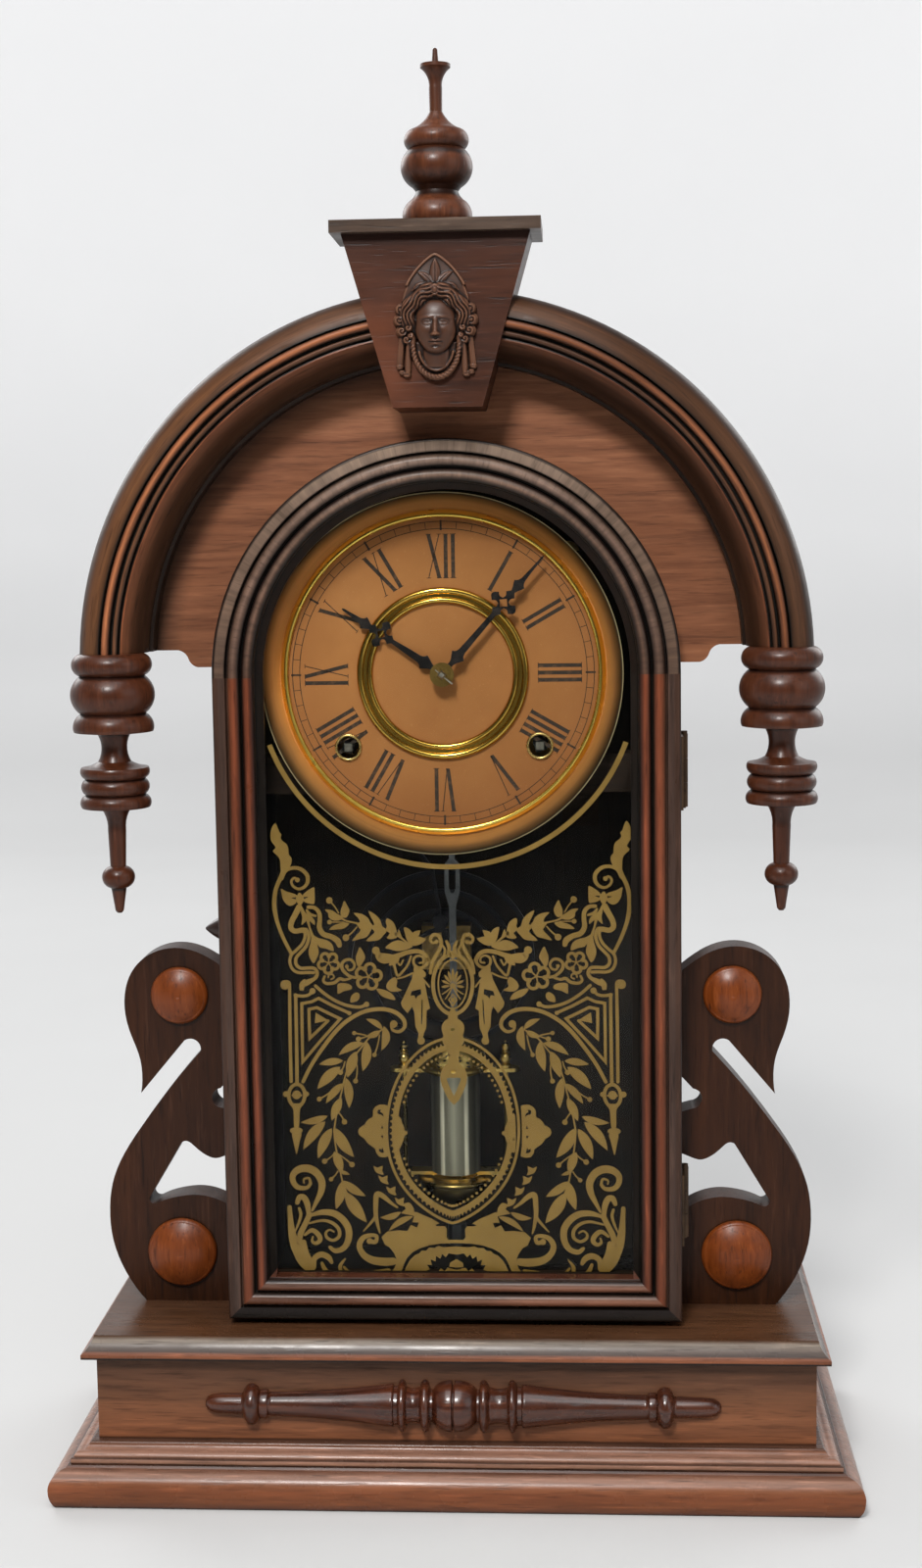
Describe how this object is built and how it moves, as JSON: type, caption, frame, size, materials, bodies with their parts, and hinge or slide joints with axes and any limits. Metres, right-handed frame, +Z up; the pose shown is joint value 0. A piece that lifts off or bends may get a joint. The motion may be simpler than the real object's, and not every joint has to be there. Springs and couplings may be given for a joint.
{
  "type": "pendulum shelf clock",
  "caption": "Victorian walnut shelf clock with an arched pediment, keystone mask, turned finials, scroll brackets, arched glazed door and a working pendulum movement.",
  "frame": {"origin": "middle of the footprint, on the surface the clock stands on", "axes": "+Z up, +X to the right seen from the front, -Y out of the dial towards the viewer"},
  "size_m": [0.334, 0.134, 0.5846],
  "materials": {
    "base_walnut": "old satin shellac",
    "case_walnut": "old satin shellac",
    "case_softwood": "stained, unpolished",
    "pediment_walnut": "old satin shellac",
    "moulding_walnut": "old satin shellac, worn edges",
    "turned_walnut": "glossy shellac",
    "dark_turning": "dark glossy shellac",
    "bracket_walnut": "old satin shellac",
    "boss_walnut": "old satin shellac",
    "door_walnut": "old satin shellac, worn edges",
    "dial_paper": "aged, matt",
    "dial_brass": "dull lacquered",
    "hinge_brass": "tarnished",
    "movement_brass": "satin",
    "pendulum_brass": "dull gilt",
    "silvered": "silvered, dull",
    "steel": "satin",
    "blackened_steel": "blued to black",
    "gilt_iron": "dull bronze paint",
    "glass": "clear, with a gilt stencil on the inside face"
  },
  "bodies": {
    "case": {"arch_mouldings": "moulding_walnut", "base_boards": "base_walnut", "bracket_bosses": "boss_walnut", "case_back_board": "case_softwood", "case_hinge_leaves": "hinge_brass", "case_sides": "case_walnut", "case_top_board": "case_walnut", "dial_bezel_ring": "dial_brass", "dial_centre_ring": "dial_brass", "dial_pan": "dial_brass", "dial_paper": "dial_paper", "dial_support_blocks": "case_softwood", "drop_finials": "turned_walnut", "gong_base_block": "gilt_iron", "gong_coil": "steel", "hinge_pins": "steel", "keystone_block": "moulding_walnut", "keystone_cap": "moulding_walnut", "keystone_mask": "dark_turning", "mainsprings": "steel", "movement_back_plate": "movement_brass", "movement_front_plate": "movement_brass", "movement_rails": "case_softwood", "ogee_mouldings": "base_walnut", "plinth_front_board": "base_walnut", "plinth_side_and_back_boards": "base_walnut", "plinth_spindle": "dark_turning", "plinth_top_board": "base_walnut", "scroll_brackets": "bracket_walnut", "top_finial": "turned_walnut", "tympanum_panel": "pediment_walnut", "winding_hole_grommets": "dial_brass"},
    "door": {"door_stiles": "door_walnut", "door_bottom_rail": "door_walnut", "door_arch_rail": "door_walnut", "door_glass": "glass", "glass_retaining_bead": "case_softwood", "door_hinge_leaves": "hinge_brass", "door_keeper": "hinge_brass"},
    "catch": {"door_catch_knob": "dark_turning"},
    "minute_work": {"centre_arbor": "movement_brass", "minute_hand": "blackened_steel", "minute_hand_washer": "dial_brass"},
    "hour_work": {"hour_wheel": "movement_brass", "hour_hand": "blackened_steel"},
    "motion_work": {"motion_wheel": "movement_brass"},
    "second": {"second_wheel": "movement_brass"},
    "time_great": {"time_great_wheel": "movement_brass"},
    "third": {"third_wheel": "movement_brass"},
    "escape": {"escape_wheel": "movement_brass"},
    "verge": {"verge_crutch": "steel"},
    "pendulum": {"pendulum_rod": "pendulum_brass", "pendulum_bob": "pendulum_brass", "bob_jar": "silvered"},
    "time_arbor": {"time_winding_arbor": "steel"},
    "strike_arbor": {"strike_winding_arbor": "steel"},
    "strike_great": {"strike_great_wheel": "movement_brass"},
    "strike_second": {"pin_wheel": "movement_brass"},
    "fly": {"strike_fly": "movement_brass"},
    "hammer": {"strike_hammer": "steel"}
  },
  "joints": [
    {"name": "door_swing", "type": "hinge", "parent": "case", "child": "door", "pos_m": [0.0966, -0.02235, 0.209], "axis": [0, 0, 1], "range_deg": [0, 88]},
    {"name": "catch_turn", "type": "hinge", "parent": "case", "child": "catch", "pos_m": [-0.095, -0.009, 0.2325], "axis": [1, 0, 0], "range_deg": [0, 90]},
    {"name": "minute_turn", "type": "hinge", "parent": "case", "child": "minute_work", "pos_m": [-0.0025, -0.018, 0.3398], "axis": [0, 1, 0], "continuous": true},
    {"name": "hour_turn", "type": "hinge", "parent": "case", "child": "hour_work", "pos_m": [-0.0025, -0.014, 0.3398], "axis": [0, 1, 0], "continuous": true},
    {"name": "motion_turn", "type": "hinge", "parent": "case", "child": "motion_work", "pos_m": [-0.0145, 0, 0.3398], "axis": [0, 1, 0], "continuous": true},
    {"name": "second_turn", "type": "hinge", "parent": "case", "child": "second", "pos_m": [0.0199, 0.038, 0.33117], "axis": [0, 1, 0], "continuous": true},
    {"name": "time_great_turn", "type": "hinge", "parent": "case", "child": "time_great", "pos_m": [0.0375, 0.02, 0.3094], "axis": [0, 1, 0], "continuous": true},
    {"name": "third_turn", "type": "hinge", "parent": "case", "child": "third", "pos_m": [-0.01612, 0.025, 0.35771], "axis": [0, 1, 0], "continuous": true},
    {"name": "escape_turn", "type": "hinge", "parent": "case", "child": "escape", "pos_m": [-0.001, 0.02, 0.372], "axis": [0, 1, 0], "continuous": true},
    {"name": "verge_rock", "type": "hinge", "parent": "case", "child": "verge", "pos_m": [-0.001, 0.02, 0.394], "axis": [0, 1, 0], "range_deg": [-3, 3]},
    {"name": "pendulum_swing", "type": "hinge", "parent": "case", "child": "pendulum", "pos_m": [-0.001, 0.00625, 0.394], "axis": [0, 1, 0], "range_deg": [-3, 3]},
    {"name": "time_winding_turn", "type": "hinge", "parent": "case", "child": "time_arbor", "pos_m": [0.0375, 0.02, 0.3094], "axis": [0, 1, 0], "continuous": true},
    {"name": "strike_winding_turn", "type": "hinge", "parent": "case", "child": "strike_arbor", "pos_m": [-0.0425, 0.02, 0.3094], "axis": [0, 1, 0], "continuous": true},
    {"name": "strike_great_turn", "type": "hinge", "parent": "case", "child": "strike_great", "pos_m": [-0.0425, 0.02, 0.3094], "axis": [0, 1, 0], "continuous": true},
    {"name": "strike_second_turn", "type": "hinge", "parent": "case", "child": "strike_second", "pos_m": [-0.0155, 0.03, 0.302], "axis": [0, 1, 0], "continuous": true},
    {"name": "fly_turn", "type": "hinge", "parent": "case", "child": "fly", "pos_m": [0.0058, 0.03, 0.29425], "axis": [0, 1, 0], "continuous": true},
    {"name": "hammer_lift", "type": "hinge", "parent": "case", "child": "hammer", "pos_m": [-0.024, 0.036, 0.276], "axis": [0, 1, 0], "range_deg": [0, 8]}
  ],
  "couplings": [
    {"joint": "hour_turn", "follows": "minute_turn", "ratio": 0.083333},
    {"joint": "motion_turn", "follows": "minute_turn", "ratio": -0.33333},
    {"joint": "second_turn", "follows": "minute_turn", "ratio": -0.2},
    {"joint": "time_great_turn", "follows": "minute_turn", "ratio": 0.033333},
    {"joint": "third_turn", "follows": "minute_turn", "ratio": -8},
    {"joint": "escape_turn", "follows": "minute_turn", "ratio": 96},
    {"joint": "verge_rock", "follows": "pendulum_swing", "ratio": 1},
    {"joint": "strike_second_turn", "follows": "strike_great_turn", "ratio": -6},
    {"joint": "fly_turn", "follows": "strike_great_turn", "ratio": 45}
  ]
}
